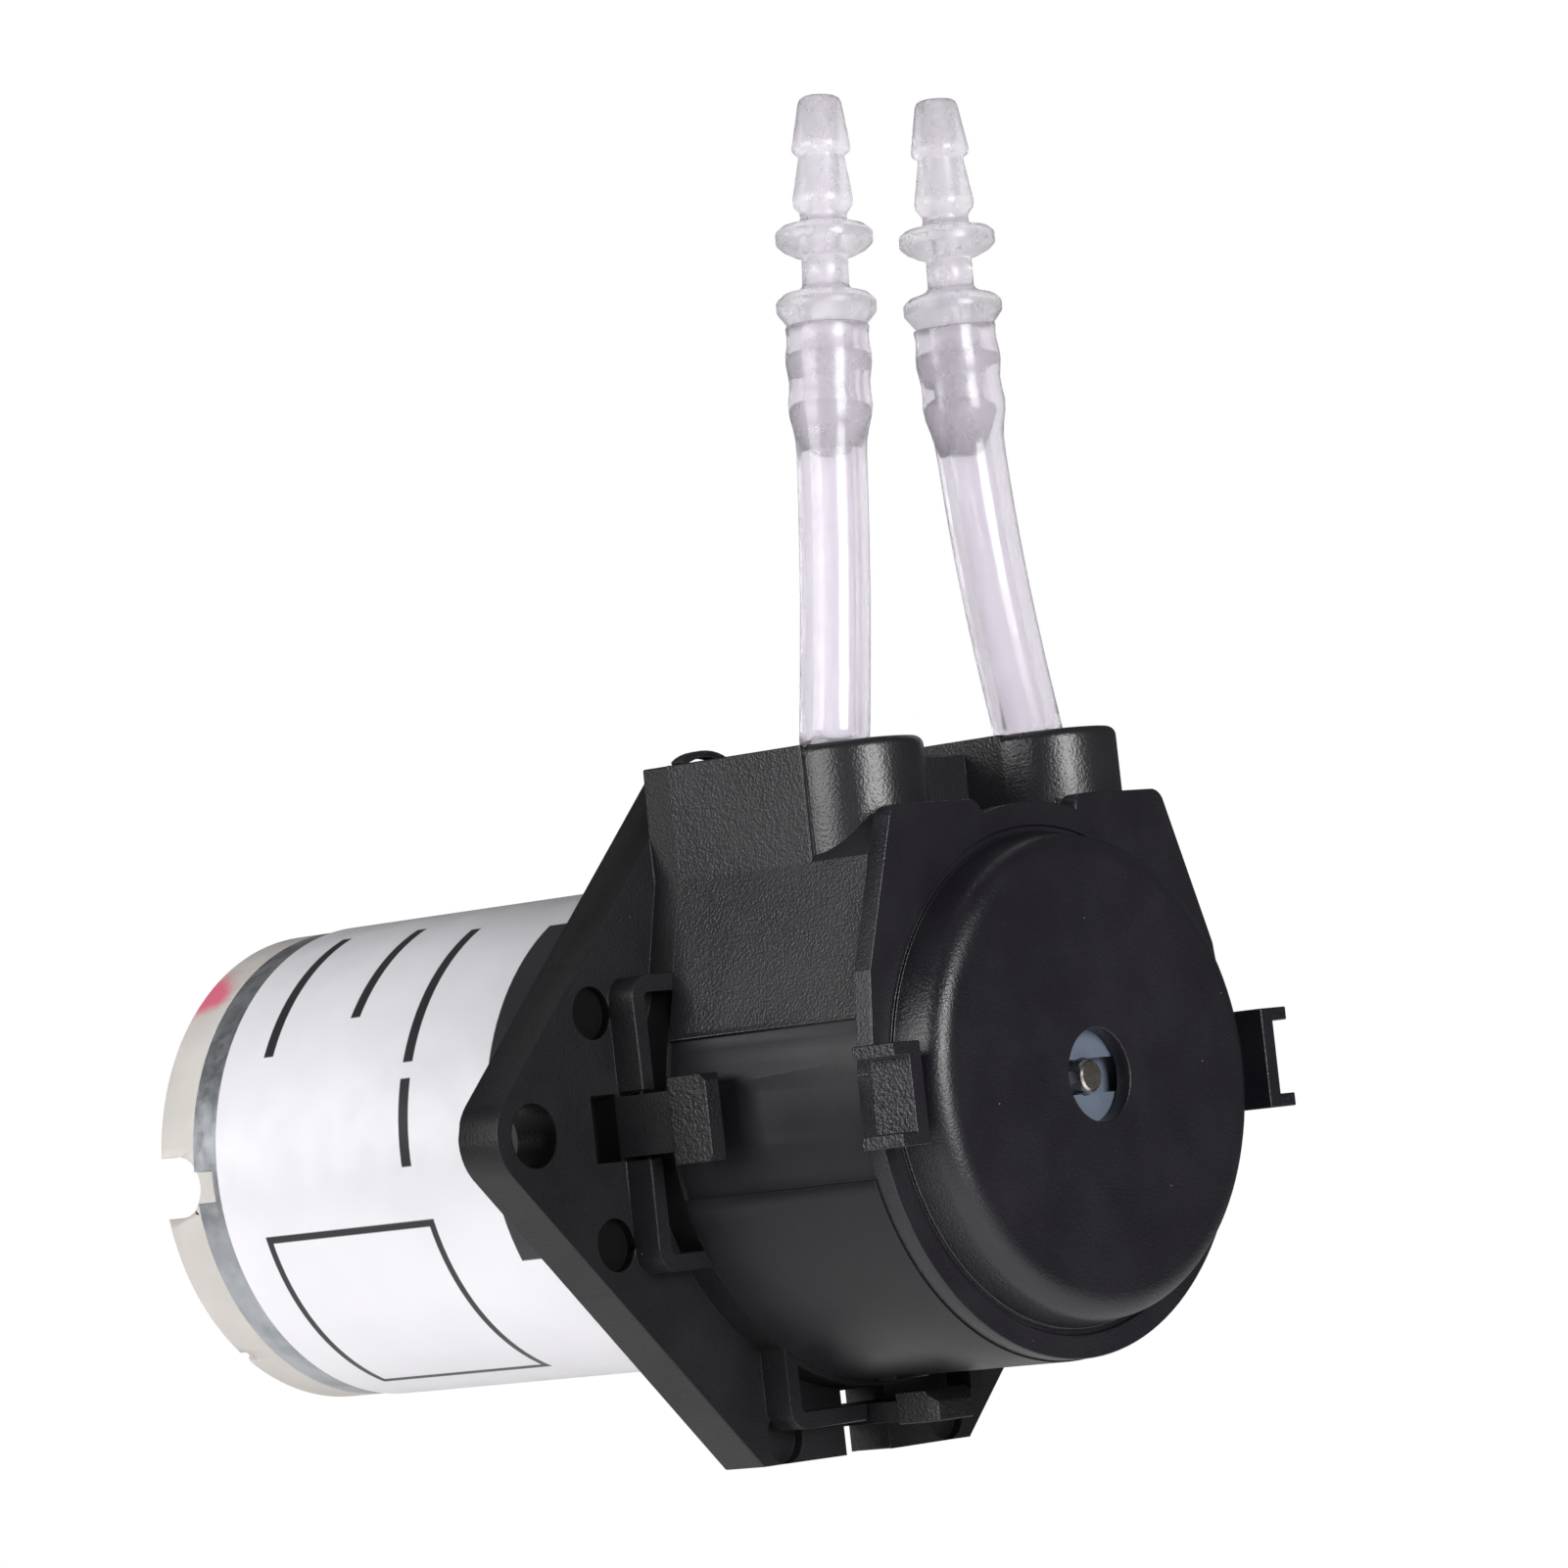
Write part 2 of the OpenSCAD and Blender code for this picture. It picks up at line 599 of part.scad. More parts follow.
module end_cap() color([0.86, 0.83, 0.78]) difference() {
    union() {
        turned(cap_back) polygon([[0, 0], [can_r - 0.35, 0], [can_r, 0.35], [can_r, cap_t], [0, cap_t]]);
        rod(can_r - can_wall, can_len + eps, can_len - 3, 128);
        turned(cap_back + 2.2) polygon([[0, 0], [4.7, 0], [5.2, 0.5], [5.2, 2.4], [0, 2.4]]);
        both_sides() translate([can_r - 2, can_len - 1.88, cap_notch_z - 1.38]) cube([1.9, 2, 2.36]);
        for (s = [-1, 1]) translate([-5, cap_back - 0.1, s * 9.5 - 2.2]) cube([10, 1.3, 4.4]);
    }
    // space for the commutator and the brushes
    rod(comm_r + 3.4, can_len + 1.6, can_len - 4, 64);
    rod(3.2, cap_back + 3, can_len, 64);
    // finger notches in the rim
    both_sides() translate([can_r - 4.5, cap_back - 1.9, cap_notch_z]) {
        rotate([0, 90, 0]) cylinder(r = 2.3, h = 8);
        translate([0, 0, -2.3]) cube([8, 4, 4.6]);
    }
    // vents
    for (a = [35, 145, 215, 325]) rotate([0, -a, 0]) translate([11, can_len - 4, -1.6]) cube([2.6, 12, 3.2]);
    translate([0, cap_back + 1.2, 0]) for (s = [-1, 1]) translate([-1.45, -8, s * 9.5 - 0.3]) cube([2.9, 10, 0.6]);
    // small parting step in the rim
    rotate([0, -231, 0]) translate([can_r - 0.6, cap_back - 1.4, -0.6]) cube([2, 3, 1.2]);
}

module rear_bush() color([0.78, 0.62, 0.35]) difference() {
    rod(3.2, cap_back + 1.6, cap_back - 1.4, 64);
    rod(motor_shaft_r + 0.03, 60, 40, 64);
}

module carbon_brushes() color([0.18, 0.18, 0.19]) both_sides()
    translate([comm_r + 0.05, comm_y + 1.8, -1.5]) cube([2.4, 3.2, 3]);

module brush_arms() color([0.85, 0.68, 0.35]) both_sides()
    translate([comm_r + 2.45, comm_y + 1.5, -2.5]) cube([0.4, can_len + 1.6 - comm_y - 1.5, 5]);

module terminals() color([0.85, 0.68, 0.35]) for (s = [-1, 1]) translate([0, 0, s * 9.5]) difference() {
    translate([-1.45, can_len + 0.4, -0.3]) cube([2.9, cap_t + 6.2, 0.6]);
    translate([0, cap_back + 4.2, 0]) cylinder(r = 0.65, h = 2, center = true, $fn = 32);
}

mounting_plate();
motor_screws();
pump_housing();
front_cover();
pump_tube();
left_hose_end();
right_hose_end();
left_barb();
right_barb();
carrier_front();
carrier_rear();
roller_pins();
roller_1();
roller_2();
roller_3();
motor_shaft();
armature_core();
windings();
commutator();
motor_can();
motor_label();
field_magnets();
front_bush();
end_cap();
rear_bush();
carbon_brushes();
brush_arms();
terminals();
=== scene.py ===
"""Looks of the peristaltic pump: hoses, barbs, materials, edges, lights and camera round the CAD frame."""
import math

import bmesh
import bpy
from mathutils import Matrix, Vector


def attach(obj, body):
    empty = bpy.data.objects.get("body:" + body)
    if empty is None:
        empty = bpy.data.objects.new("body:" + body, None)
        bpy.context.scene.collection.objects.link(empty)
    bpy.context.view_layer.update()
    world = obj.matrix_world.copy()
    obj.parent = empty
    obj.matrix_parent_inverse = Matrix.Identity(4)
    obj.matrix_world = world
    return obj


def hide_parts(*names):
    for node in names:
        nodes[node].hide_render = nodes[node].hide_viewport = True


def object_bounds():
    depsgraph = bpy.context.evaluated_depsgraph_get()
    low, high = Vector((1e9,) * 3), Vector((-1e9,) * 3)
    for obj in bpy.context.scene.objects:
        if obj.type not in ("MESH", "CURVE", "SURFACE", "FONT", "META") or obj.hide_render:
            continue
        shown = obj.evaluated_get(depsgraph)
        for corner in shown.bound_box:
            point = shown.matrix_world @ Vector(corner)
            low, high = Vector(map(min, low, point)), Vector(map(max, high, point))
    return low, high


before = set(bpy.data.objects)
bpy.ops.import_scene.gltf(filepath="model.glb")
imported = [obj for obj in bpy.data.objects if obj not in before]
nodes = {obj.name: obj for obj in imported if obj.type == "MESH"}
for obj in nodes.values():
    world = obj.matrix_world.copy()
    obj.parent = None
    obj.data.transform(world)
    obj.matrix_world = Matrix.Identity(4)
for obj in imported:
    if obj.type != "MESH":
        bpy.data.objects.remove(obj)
cad_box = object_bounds()
MM = 0.001


# ------------------------------------------------------------------ camera

def make_camera():
    """The photograph's view: from the front left, a little below the pump's axis, with a long lens."""
    right = Vector((0.66623, -0.73765, -0.10967))
    up = Vector((0.03644, -0.11469, 0.99273))
    back = right.cross(up)
    turn = Matrix((right, up, back)).transposed().to_4x4()
    data = bpy.data.cameras.new("camera")
    data.sensor_width = 36
    data.lens = 185.64
    data.clip_start = 0.01
    camera = bpy.data.objects.new("camera", data)
    camera.matrix_world = Matrix.Translation((-0.43808, -0.39405, -0.00545)) @ turn
    bpy.context.scene.collection.objects.link(camera)
    bpy.context.scene.camera = camera


make_camera()


# ------------------------------------------------------------------ node materials

class Shader:
    """A material's node tree, with short calls for the nodes that the looks use."""

    def __init__(self, name, **constants):
        self.material = bpy.data.materials.new(name)
        self.material.use_nodes = True
        self.tree = self.material.node_tree
        self.surface = self.tree.nodes["Principled BSDF"]
        for socket, value in constants.items():
            name = socket.replace("_", " ")
            self.surface.inputs[name].default_value = (*value, 1) if isinstance(value, tuple) else value
        self.place = self.tree.nodes.new("ShaderNodeTexCoord").outputs["Object"]

    def node(self, kind, **settings):
        made = self.tree.nodes.new("ShaderNode" + kind)
        for name, value in settings.items():
            setattr(made, name, value)
        return made

    def link(self, out, into):
        self.tree.links.new(out, into)

    def to(self, socket, out):
        self.link(out, self.surface.inputs[socket])

    def math(self, operation, a, b=0.0, clamp=False):
        made = self.node("Math", operation=operation, use_clamp=clamp)
        for i, value in enumerate((a, b)):
            if isinstance(value, (int, float)):
                made.inputs[i].default_value = value
            else:
                self.link(value, made.inputs[i])
        return made.outputs[0]

    def ramp(self, value, low, high, to_low=0.0, to_high=1.0):
        """value from low to high becomes to_low to to_high, smoothly and clamped."""
        made = self.node("MapRange", interpolation_type="SMOOTHSTEP")
        self.link(value, made.inputs["Value"])
        limits = {"From Min": low, "From Max": high, "To Min": to_low, "To Max": to_high}
        for socket, number in limits.items():
            made.inputs[socket].default_value = number
        return made.outputs["Result"]

    def axes(self):
        made = self.node("SeparateXYZ")
        self.link(self.place, made.inputs[0])
        return made.outputs

    def stretched(self, scale):
        made = self.node("Mapping")
        made.inputs["Scale"].default_value = scale
        self.link(self.place, made.inputs["Vector"])
        return made.outputs["Vector"]

    def noise(self, size, detail=3.0, rough=0.55, vector=None):
        """Noise whose blobs are about size metres across."""
        made = self.node("TexNoise")
        made.inputs["Scale"].default_value = 0.5 / size
        made.inputs["Detail"].default_value = detail
        made.inputs["Roughness"].default_value = rough
        self.link(vector or self.place, made.inputs["Vector"])
        return made.outputs["Fac"]

    def cells(self, size):
        made = self.node("TexVoronoi", feature="F1")
        made.inputs["Scale"].default_value = 1 / size
        self.link(self.place, made.inputs["Vector"])
        return made

    def specks(self, size, radius, share):
        """Round specks: one in each cell of this size, of this radius, kept in a share of the cells."""
        cell = self.cells(size)
        dot = self.ramp(cell.outputs["Distance"], radius / size, 0.55 * radius / size)
        tone = self.node("SeparateColor")
        self.link(cell.outputs["Color"], tone.inputs[0])
        return self.math("MULTIPLY", dot, self.math("LESS_THAN", tone.outputs[0], share))

    def colour(self, factor, *stops):
        """Colours along factor: each stop is (position, (r, g, b))."""
        made = self.node("ValToRGB")
        ramp = made.color_ramp
        for i, (position, rgb) in enumerate(stops):
            stop = ramp.elements[i] if i < 2 else ramp.elements.new(position)
            stop.position = position
            stop.color = (*rgb, 1)
        self.link(factor, made.inputs[0])
        return made.outputs["Color"]

    def mixed(self, factor, a, b):
        made = self.node("Mix", data_type="RGBA")
        self.link(factor, made.inputs["Factor"])
        for name, value in (("A", a), ("B", b)):
            socket = [s for s in made.inputs if s.name == name and s.type == "RGBA"][0]
            if isinstance(value, tuple):
                socket.default_value = (*value, 1)
            else:
                self.link(value, socket)
        return [s for s in made.outputs if s.type == "RGBA"][0]

    def bump(self, height, depth, strength=1.0, after=None):
        made = self.node("Bump")
        made.inputs["Distance"].default_value = depth
        if isinstance(strength, float):
            made.inputs["Strength"].default_value = strength
        else:
            self.link(strength, made.inputs["Strength"])
        self.link(height, made.inputs["Height"])
        if after:
            self.link(after, made.inputs["Normal"])
        return made.outputs["Normal"]


def black_plastic(name, base, rough, grain, grain_depth, dust_and_glint_share):
    """Black moulded plastic: fine grain, slightly uneven tone, and light specks that stand for stray dust and
    for painted glints of the grain.
    """
    s = Shader(name, Specular_IOR_Level=0.5)
    tone = s.noise(9 * MM, 4)
    # light grey specks: stray dust, and painted glints where the grain catches the light
    speck = s.specks(1.6 * MM, 0.055 * MM, dust_and_glint_share)
    plain = s.colour(tone, (0.3, tuple(0.8 * c for c in base)), (0.7, tuple(1.2 * c for c in base)))
    s.to("Base Color", s.mixed(speck, plain, (0.24, 0.23, 0.24)))
    s.to("Roughness", s.ramp(s.noise(2.5 * MM, 5), 0.3, 0.7, rough - 0.05, rough + 0.07))
    s.to("Normal", s.bump(s.noise(grain, 3, 0.6), grain_depth))
    return s


def add_coarse_grain(s, where):
    """Spark-eroded grain over the finer one, where the mask is 1."""
    fine = s.surface.inputs["Normal"].links[0].from_socket
    s.to("Normal", s.bump(s.noise(0.13 * MM, 1.5, 0.5), 0.07 * MM, where, fine))


def plate_material():
    """Grained grips, and deep shade in the panel holes and in the round pockets."""
    hole_x, hole_r = 31.2 * MM, 2.26 * MM
    s = black_plastic("plate_plastic", (0.009, 0.0086, 0.0102), 0.38, 0.12 * MM, 0.036 * MM, 0.30)
    x, y, z = s.axes()
    out = s.math("SQRT", s.math("ADD", s.math("MULTIPLY", x, x), s.math("MULTIPLY", z, z)))
    front = s.ramp(y, -8.8 * MM, -9.0 * MM)
    add_coarse_grain(s, s.math("MULTIPLY", front, s.ramp(out, 20.0 * MM, 20.2 * MM)))
    side = s.math("SUBTRACT", s.math("ABSOLUTE", x), hole_x)
    from_hole = s.math("SQRT", s.math("ADD", s.math("MULTIPLY", side, side), s.math("MULTIPLY", z, z)))
    in_hole = s.ramp(from_hole, hole_r + 0.1 * MM, hole_r)
    near_axis = s.ramp(s.math("ABSOLUTE", z), 12 * MM, 11 * MM)
    behind = s.math("MULTIPLY", s.ramp(y, -3.74 * MM, -3.6 * MM), near_axis)
    in_pocket = s.math("MULTIPLY", behind, s.ramp(out, 27.6 * MM, 27.3 * MM))
    deep = s.math("MAXIMUM", in_hole, in_pocket)
    plain = s.surface.inputs["Base Color"].links[0].from_socket
    s.to("Base Color", s.mixed(deep, plain, (0.005, 0.005, 0.005)))
    s.to("Specular IOR Level", s.ramp(deep, 0.0, 1.0, 0.36, 0.08))
    return s.material


def cover_material():
    """Coarse grain on the two tabs only, which lie beyond tab_x on either side."""
    tab_x = 20.0 * MM
    s = black_plastic("cover_plastic", (0.010, 0.0088, 0.0125), 0.31, 0.10 * MM, 0.045 * MM, 0.26)
    from_middle = s.math("ABSOLUTE", s.axes()["X"])
    add_coarse_grain(s, s.ramp(from_middle, tab_x - 0.05 * MM, tab_x + 0.05 * MM))
    return s.material


def housing_material():
    """Spark-eroded grain on the flanks above the clip bands, and a plain satin surface below."""
    band_top = (5.5 * MM, 5.65 * MM)
    s = Shader("housing_plastic")
    z = s.axes()["Z"]
    s.to("Specular IOR Level", s.ramp(z, *band_top, 0.26, 0.48))
    textured = s.ramp(z, *band_top)
    grain = s.noise(0.10 * MM, 1.5, 0.5)
    fine = s.noise(0.09 * MM, 2, 0.5)
    # light grey specks: stray dust, and painted glints where the grain catches the light
    speck = s.specks(2.1 * MM, 0.05 * MM, 0.25)
    plain = s.colour(s.noise(11 * MM, 4), (0.3, (0.010, 0.0095, 0.0115)), (0.7, (0.017, 0.016, 0.019)))
    s.to("Base Color", s.mixed(speck, plain, (0.30, 0.29, 0.29)))
    coarse = s.bump(grain, 0.034 * MM, textured)
    s.to("Normal", s.bump(fine, 0.006 * MM, 1.0, coarse))
    worn = s.ramp(s.noise(3 * MM, 5), 0.3, 0.7, -0.04, 0.05)
    s.to("Roughness", s.math("ADD", s.ramp(z, *band_top, 0.36, 0.31), worn))
    return s.material


def silicone_material():
    s = Shader("silicone", Transmission_Weight=0.80, IOR=1.41, Specular_IOR_Level=0.5)
    streak = s.noise(1.2 * MM, 3, 0.5, s.stretched((1, 1, 0.12)))
    haze = s.colour(streak, (0.3, (0.82, 0.785, 0.84)), (0.7, (0.865, 0.835, 0.89)))
    speck = s.specks(3 * MM, 0.06 * MM, 0.25)
    s.to("Base Color", s.mixed(speck, haze, (0.45, 0.36, 0.33)))
    s.to("Roughness", s.ramp(s.noise(2 * MM, 4), 0.3, 0.7, 0.12, 0.24))
    s.to("Normal", s.bump(streak, 0.05 * MM))
    return s.material


def barb_material():
    s = Shader("clear_plastic", Transmission_Weight=0.78, IOR=1.45, Specular_IOR_Level=0.5)
    cloud = s.noise(1.5 * MM, 4)
    s.to("Base Color", s.colour(cloud, (0.3, (0.80, 0.775, 0.815)), (0.7, (0.855, 0.83, 0.87))))
    s.to("Roughness", s.ramp(s.noise(0.8 * MM, 4), 0.3, 0.7, 0.22, 0.36))
    s.to("Normal", s.bump(s.noise(0.5 * MM, 4), 0.02 * MM))
    return s.material


def label_material():
    """Satin silver-white film, with plain bars where such a label carries its print."""
    s = Shader("label_film", Metallic=0.15, Specular_IOR_Level=0.5)
    x, y, z = s.axes()
    turn = s.math("ARCTAN2", z, s.math("MULTIPLY", x, -1.0))

    def patch(y_mid, y_half, a_low, a_high):
        """A block at y_mid, y_half each way in millimetres, from a_low to a_high degrees round the can."""
        from_mid = s.math("ABSOLUTE", s.math("SUBTRACT", y, y_mid * MM))
        across = s.ramp(from_mid, (y_half + 0.06) * MM, (y_half - 0.06) * MM)
        middle = math.radians((a_low + a_high) / 2)
        half = math.radians((a_high - a_low) / 2)
        off = s.math("ABSOLUTE", s.math("SUBTRACT", turn, middle))
        return s.math("MULTIPLY", across, s.ramp(off, half + 0.004, half - 0.004))

    bars = [(11.5, 2.2, -29, 60), (22.2, 0.5, 22, 64), (22.2, 0.5, -3, 18),
            (29.2, 0.5, 36, 69), (37.4, 0.5, 28, 70)]
    ink = None
    for bar in bars:
        mark = patch(*bar)
        ink = mark if ink is None else s.math("MAXIMUM", ink, mark)
    square, hollow = patch(29.5, 8.8, -69, -16), patch(29.5, 8.2, -67.2, -17.8)
    ink = s.math("MAXIMUM", ink, s.math("SUBTRACT", square, hollow, clamp=True))
    film = s.colour(s.noise(6 * MM, 3), (0.3, (0.84, 0.83, 0.88)), (0.7, (0.90, 0.89, 0.93)))
    s.to("Base Color", s.mixed(ink, film, (0.03, 0.03, 0.035)))
    s.to("Roughness", s.ramp(s.noise(1.5 * MM, 4), 0.3, 0.7, 0.30, 0.38))
    s.to("Normal", s.bump(s.noise(2.5 * MM, 2), 0.01 * MM))
    return s.material


def can_material():
    """Galvanised steel: soft grey blotches and fine marks round the can."""
    s = Shader("galvanised_steel", Metallic=0.92)
    blotch = s.noise(1.6 * MM, 5, 0.6)
    s.to("Base Color", s.colour(blotch, (0.25, (0.34, 0.36, 0.39)), (0.75, (0.62, 0.64, 0.67))))
    s.to("Roughness", s.ramp(s.noise(0.7 * MM, 4), 0.3, 0.7, 0.30, 0.48))
    s.to("Normal", s.bump(s.noise(0.25 * MM, 4, 0.6, s.stretched((1, 6, 1))), 0.012 * MM))
    return s.material


def cap_material():
    """Off-white nylon with a faint grain, and a dab of red paint that marks one pole."""
    s = Shader("cap_nylon", Subsurface_Weight=0.12, Subsurface_Scale=0.001)
    spot = s.node("VectorMath", operation="DISTANCE")
    s.link(s.place, spot.inputs[0])
    spot.inputs[1].default_value = (-11.0 * MM, 48.2 * MM, 13.8 * MM)
    wobble = s.ramp(s.noise(1.5 * MM, 3), 0.0, 1.0, -1.2 * MM, 1.2 * MM)
    paint = s.ramp(s.math("ADD", spot.outputs["Value"], wobble), 3.4 * MM, 1.2 * MM)
    body = s.colour(s.noise(4 * MM, 4), (0.3, (0.56, 0.53, 0.50)), (0.7, (0.64, 0.61, 0.58)))
    s.to("Base Color", s.mixed(paint, body, (0.75, 0.16, 0.24)))
    s.to("Roughness", s.ramp(s.noise(1.2 * MM, 4), 0.3, 0.7, 0.42, 0.58))
    s.to("Normal", s.bump(s.noise(0.3 * MM, 4), 0.01 * MM))
    return s.material


def metal(name, dark, light, rough, stretch=(1, 1, 1), metallic=1.0):
    """Plain metal with tone and fine marks of its own."""
    s = Shader(name, Metallic=metallic)
    marks = s.noise(0.4 * MM, 5, 0.6, s.stretched(stretch))
    s.to("Base Color", s.colour(marks, (0.25, dark), (0.75, light)))
    s.to("Roughness", s.ramp(s.noise(1.1 * MM, 4), 0.3, 0.7, rough - 0.06, rough + 0.08))
    s.to("Normal", s.bump(marks, 0.01 * MM))
    return s.material


def plastic(name, dark, light, rough, **constants):
    """Plain moulded plastic with uneven tone and a faint orange-peel surface."""
    s = Shader(name, **constants)
    s.to("Base Color", s.colour(s.noise(3 * MM, 4), (0.3, dark), (0.7, light)))
    s.to("Roughness", s.ramp(s.noise(1.5 * MM, 4), 0.3, 0.7, rough - 0.05, rough + 0.08))
    s.to("Normal", s.bump(s.noise(0.5 * MM, 3), 0.008 * MM))
    return s.material


silicone = silicone_material()
clear_plastic = barb_material()


# ------------------------------------------------------------------ hoses and barbs

TUBE_Y = -17.4
LEFT_ROUTE = [(-10.65, 25.15), (-9.7, 30.5), (-8.8, 36), (-8.1, 41), (-7.5, 46), (-6.9, 51), (-6.5, 55)]
RIGHT_ROUTE = [(10.65, 25.15), (9.6, 30.5), (8.7, 36), (8.1, 41), (7.7, 46), (7.45, 51), (7.4, 55)]
LEFT_LEAN, RIGHT_LEAN = 6.5, 2.5
HOSE_R, BORE_R, STRETCHED_R = 2.5, 1.5, 3.1
BARB_R = [(-9.3, 1.2), (-9.2, 1.45), (-6.3, 2.15), (-5.8, 2.15), (-5.2, 1.65), (-4.6, 1.65), (-2.6, 2.2),
          (-2.1, 2.2), (-1.6, 1.7), (-0.1, 1.75), (0.02, 2.6), (0.16, 2.9), (0.5, 3.15), (0.95, 3.5),
          (1.1, 3.58), (1.7, 3.58), (1.85, 3.5), (2.25, 3.05), (2.5, 2.2), (2.7, 1.85), (2.95, 1.68),
          (4.9, 1.66), (5.05, 1.85), (5.2, 2.3), (5.55, 3.0), (5.95, 3.42), (6.1, 3.48), (6.7, 3.48),
          (6.85, 3.42), (7.2, 3.0), (7.38, 2.2), (7.5, 1.72), (8.0, 1.65), (8.2, 1.72), (8.75, 2.1),
          (8.95, 2.15), (9.3, 2.15), (9.45, 2.12), (12.2, 1.66), (12.35, 1.66), (12.65, 2.02),
          (12.8, 2.1), (13.1, 2.1), (13.25, 2.06), (16.2, 1.56), (16.5, 1.42), (16.65, 1.15)]
BARB_BORE = 0.9
SWELLS = ((49.2, 1.6, 0.50), (52.6, 1.7, 0.58), (55.5, 1.3, 0.48))    # height, width and rise over each barb
BORE_STRETCH = 0.72
LIP = 0.12


def smooth_route(points, steps=6):
    """A Catmull-Rom curve through the given points, as a list of positions."""
    p = [Vector((x, TUBE_Y, z)) for x, z in points]
    p = [2 * p[0] - p[1]] + p + [2 * p[-1] - p[-2]]
    line = []
    for i in range(1, len(p) - 2):
        for j in range(steps):
            t = j / steps
            a, b, c, d = p[i - 1:i + 3]
            line.append(0.5 * (2 * b + (c - a) * t + (2 * a - 5 * b + 4 * c - d) * t * t
                               + (3 * b - 3 * c + d - a) * t ** 3))
    line.append(p[-2])
    return [v * MM for v in line]


def tube_mesh(name, rings):
    """A closed mesh through rings of points: out along the wall, back along the bore to the first ring."""
    mesh = bpy.data.meshes.new(name)
    sides = len(rings[0])
    verts = [p for ring in rings for p in ring]
    count = len(rings)
    faces = []
    for i in range(count):
        k = (i + 1) % count
        for j in range(sides):
            n = (j + 1) % sides
            faces.append((i * sides + j, i * sides + n, k * sides + n, k * sides + j))
    mesh.from_pydata([tuple(v) for v in verts], [], faces)
    b = bmesh.new()
    b.from_mesh(mesh)
    bmesh.ops.recalc_face_normals(b, faces=b.faces)
    b.to_mesh(mesh)
    b.free()
    mesh.polygons.foreach_set("use_smooth", [True] * len(mesh.polygons))
    piece = bpy.data.objects.new(name, mesh)
    bpy.context.scene.collection.objects.link(piece)
    return piece


def ring_at(centre, across, along_y, radius, sides=40):
    turns = [2 * math.pi * j / sides for j in range(sides)]
    return [centre + radius * (math.cos(a) * across + math.sin(a) * along_y) for a in turns]


def hose_swell(z):
    """The hose's outer and bore radius at a height: it swells over the barb inside its end."""
    swell = sum(math.exp(-((z - peak) / width) ** 2) * rise for peak, width, rise in SWELLS)
    return (HOSE_R + min(swell, STRETCHED_R - HOSE_R)) * MM, (BORE_R + min(swell, BORE_STRETCH)) * MM


def make_hose(name, route, node):
    """A hollow hose: its outer wall, its cut end, and its bore."""
    line = smooth_route(route)
    side = Vector((0, 1, 0))
    outer, bore = [], []
    for i, centre in enumerate(line):
        ahead = (line[min(i + 1, len(line) - 1)] - line[max(i - 1, 0)]).normalized()
        across = side.cross(ahead).normalized()
        r_out, r_in = hose_swell(centre.z / MM)
        outer.append(ring_at(centre, across, side, r_out))
        bore.append(ring_at(centre, across, side, r_in))
    end = line[-1]
    r_out, r_in = hose_swell(end.z / MM)
    lips = [ring_at(end, across, side, r_out - 0.05 * MM), ring_at(end, across, side, r_in + 0.1 * MM)]
    shoulder = ring_at(end - LIP * MM * ahead, across, side, r_out)
    piece = tube_mesh(name, outer[:-1] + [shoulder] + lips + bore[::-1])
    piece.data.materials.append(silicone)
    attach(piece, "head")
    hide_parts(node)
    return piece, line


def make_barb(name, route, lean, node):
    """A barbed connector turned from one profile, with its bore, standing in the end of its hose."""
    axis = Vector((math.sin(math.radians(lean)), 0, math.cos(math.radians(lean))))
    foot = Vector((route[-1][0], TUBE_Y, route[-1][1])) * MM
    side = Vector((0, 1, 0))
    across = side.cross(axis)
    rings = [ring_at(foot + h * MM * axis, across, side, r * MM, 48) for h, r in BARB_R]
    low, high = BARB_R[0][0] - 0.02, BARB_R[-1][0] + 0.03
    for h in (high, high - 0.15, low + 0.15, low):
        widen = 0.12 if h in (high, low) else 0
        rings.append(ring_at(foot + h * MM * axis, across, side, (BARB_BORE + widen) * MM, 48))
    piece = tube_mesh(name, rings)
    piece.data.materials.append(clear_plastic)
    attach(piece, "head")
    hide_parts(node)
    return piece


for side_name, route, lean in (("left", LEFT_ROUTE, LEFT_LEAN), ("right", RIGHT_ROUTE, RIGHT_LEAN)):
    hose, hose_line = make_hose(side_name + "_hose", route, side_name + "_hose_end")
    barb = make_barb(side_name + "_hose_barb", route, lean, side_name + "_barb")


# ------------------------------------------------------------------ edges and materials of the CAD nodes

def soften(node, width, measure="ABSOLUTE"):
    """Rounds a moulded piece's edges a little. The CAD mesh itself stays as it is."""
    piece = nodes[node]
    weld = piece.modifiers.new("weld", "WELD")
    weld.merge_threshold = 0.002 * MM
    flat = piece.modifiers.new("flat_faces", "DECIMATE")
    flat.decimate_type = "DISSOLVE"
    flat.angle_limit = math.radians(0.4)
    bevel = piece.modifiers.new("edges", "BEVEL")
    bevel.width = width * MM
    bevel.segments = 3
    bevel.limit_method = "ANGLE"
    bevel.angle_limit = math.radians(35)
    bevel.use_clamp_overlap = False
    bevel.offset_type = measure
    bevel.harden_normals = True


def paint(material, *names):
    for name in names:
        piece = nodes[name]
        piece.data.materials.clear()
        piece.data.materials.append(material)


paint(plate_material(), "mounting_plate")
paint(housing_material(), "pump_housing")
paint(cover_material(), "front_cover")
paint(silicone, "pump_tube")
paint(plastic("carrier_plastic", (0.085, 0.105, 0.14), (0.13, 0.155, 0.20), 0.28),
      "carrier_front", "carrier_rear")
paint(plastic("roller_acetal", (0.78, 0.77, 0.74), (0.86, 0.85, 0.82), 0.3, Subsurface_Weight=0.1,
              Subsurface_Scale=0.002), "roller_1", "roller_2", "roller_3")
paint(metal("pin_steel", (0.50, 0.50, 0.51), (0.68, 0.68, 0.69), 0.25, stretch=(1, 5, 1)),
      "roller_pins", "motor_screws")
paint(metal("shaft_steel", (0.50, 0.45, 0.41), (0.72, 0.67, 0.62), 0.24, stretch=(6, 1, 6)),
      "motor_shaft")
